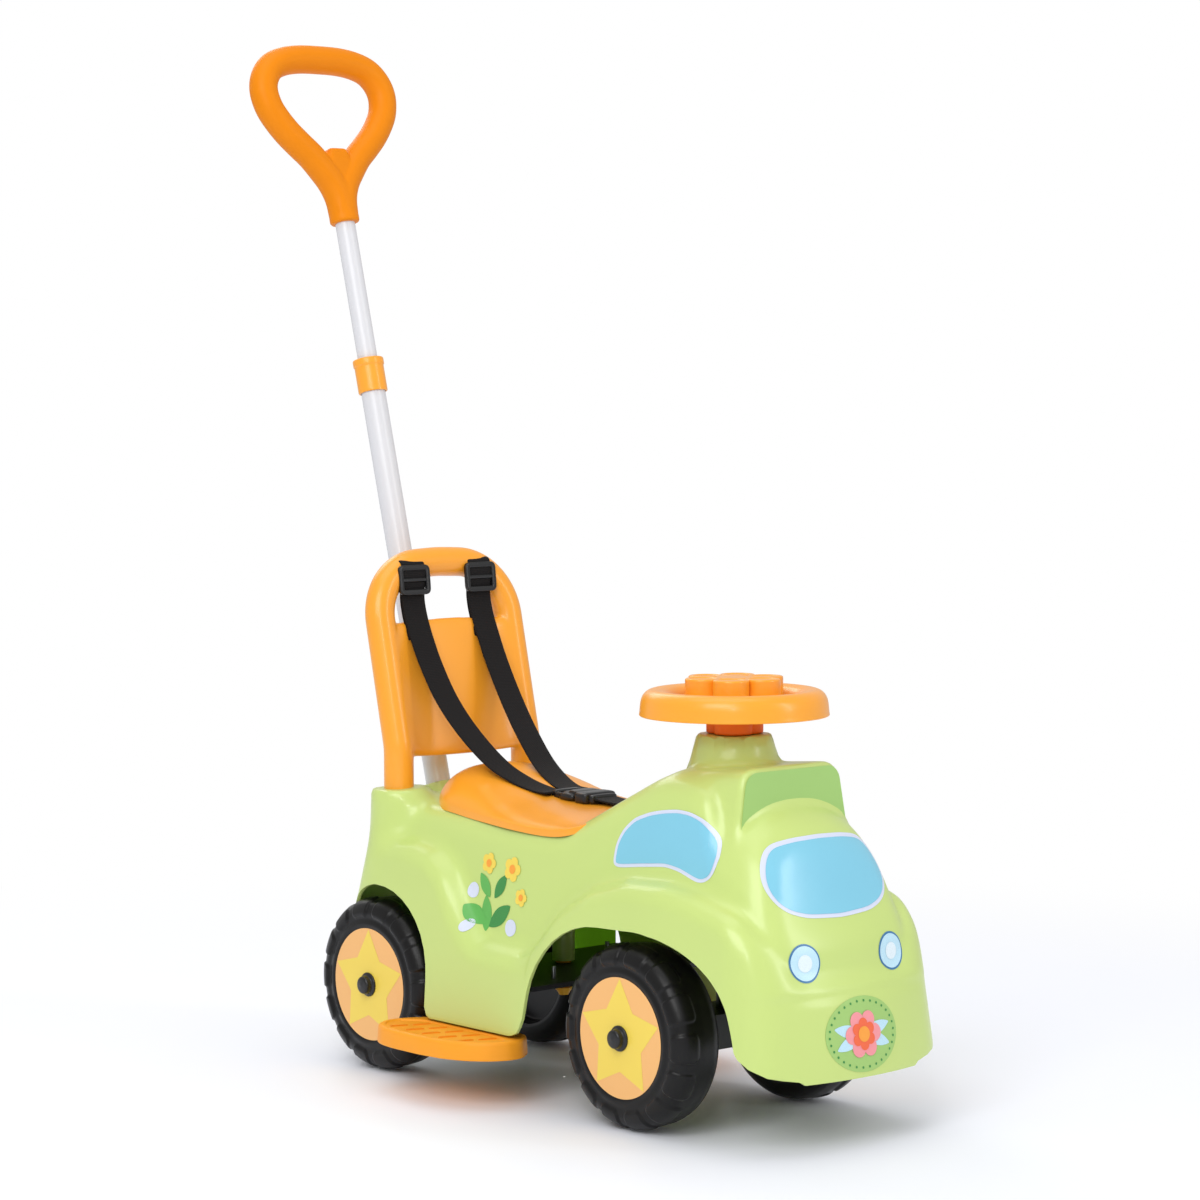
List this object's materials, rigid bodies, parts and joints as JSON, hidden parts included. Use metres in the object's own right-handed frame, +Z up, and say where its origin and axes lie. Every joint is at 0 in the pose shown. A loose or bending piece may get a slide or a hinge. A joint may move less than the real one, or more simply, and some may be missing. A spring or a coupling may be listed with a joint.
{
  "type": "toddler push car",
  "caption": "Toddler ride-on push car: moulded shell with fenders and windscreen nose, steered front wheels, saddle, harnessed backrest and a telescopic push handle.",
  "frame": {"origin": "on the floor, in the mid plane, half way between the nose and the back of the push grip", "axes": "+X forward, +Y to the rider's left, +Z up"},
  "size_m": [0.712, 0.3098, 0.9002],
  "materials": {
    "shell_green": "smooth injection-moulded polypropylene, soft gloss",
    "moulded_orange": "smooth moulded plastic, soft gloss",
    "tube_white": "white powder-coated steel tube",
    "wheel_black": "blow-moulded black plastic, satin",
    "disc_yellow": "printed plastic facing with a plain star",
    "frame_black": "moulded black plastic",
    "plain_steel": "zinc-plated steel",
    "plug_yellow": "moulded plastic",
    "webbing_black": "woven webbing",
    "buckle_black": "moulded plastic, satin"
  },
  "bodies": {
    "chassis": {"body_shell": "shell_green", "seat": "moulded_orange", "backrest": "moulded_orange", "push_tube_lower": "tube_white", "tube_collar": "moulded_orange", "rear_axle_block": "frame_black", "rear_block_screws": "plain_steel", "rear_axle": "plain_steel", "rear_axle_spacers": "frame_black", "rear_axle_caps": "frame_black", "steering_support": "frame_black", "support_screws": "plain_steel", "steering_bush": "frame_black", "floor_tray": "frame_black", "tray_screws": "plain_steel", "footrest_right": "moulded_orange", "footrest_left": "moulded_orange", "footrest_screws": "plain_steel", "seat_plug": "plug_yellow", "strap_right": "webbing_black", "strap_left": "webbing_black", "strap_slider_right": "buckle_black", "strap_slider_left": "buckle_black", "buckle_tongue": "buckle_black", "buckle_body": "buckle_black", "crotch_strap": "webbing_black"},
    "steering": {"steering_shaft": "plain_steel", "front_axle_carrier": "frame_black", "steering_wheel": "moulded_orange", "steering_screw": "plain_steel", "front_axle": "plain_steel", "front_axle_spacers": "frame_black", "front_axle_caps": "frame_black"},
    "handle": {"push_tube_upper": "tube_white", "push_grip": "moulded_orange"},
    "wheel_front_right": {"front_wheel_right": "wheel_black", "front_disc_right": "disc_yellow"},
    "wheel_front_left": {"front_wheel_left": "wheel_black", "front_disc_left": "disc_yellow"},
    "wheel_rear_right": {"rear_wheel_right": "wheel_black", "rear_disc_right": "disc_yellow"},
    "wheel_rear_left": {"rear_wheel_left": "wheel_black", "rear_disc_left": "disc_yellow"}
  },
  "joints": [
    {"name": "steering_turn", "type": "hinge", "parent": "chassis", "child": "steering", "pos_m": [0.2145, 0, 0.2], "axis": [0, 0, 1], "range_deg": [-25, 25]},
    {"name": "handle_slide", "type": "slide", "parent": "chassis", "child": "handle", "axis": [-0.2554, 0, 0.9668], "range_m": [-0.12, 0]},
    {"name": "front_right_spin", "type": "hinge", "parent": "steering", "child": "wheel_front_right", "pos_m": [0.198, -0.085, 0.075], "axis": [0, 1, 0], "continuous": true},
    {"name": "front_left_spin", "type": "hinge", "parent": "steering", "child": "wheel_front_left", "pos_m": [0.198, 0.085, 0.075], "axis": [0, 1, 0], "continuous": true},
    {"name": "rear_right_spin", "type": "hinge", "parent": "chassis", "child": "wheel_rear_right", "pos_m": [-0.132, -0.085, 0.075], "axis": [0, 1, 0], "continuous": true},
    {"name": "rear_left_spin", "type": "hinge", "parent": "chassis", "child": "wheel_rear_left", "pos_m": [-0.132, 0.085, 0.075], "axis": [0, 1, 0], "continuous": true}
  ]
}
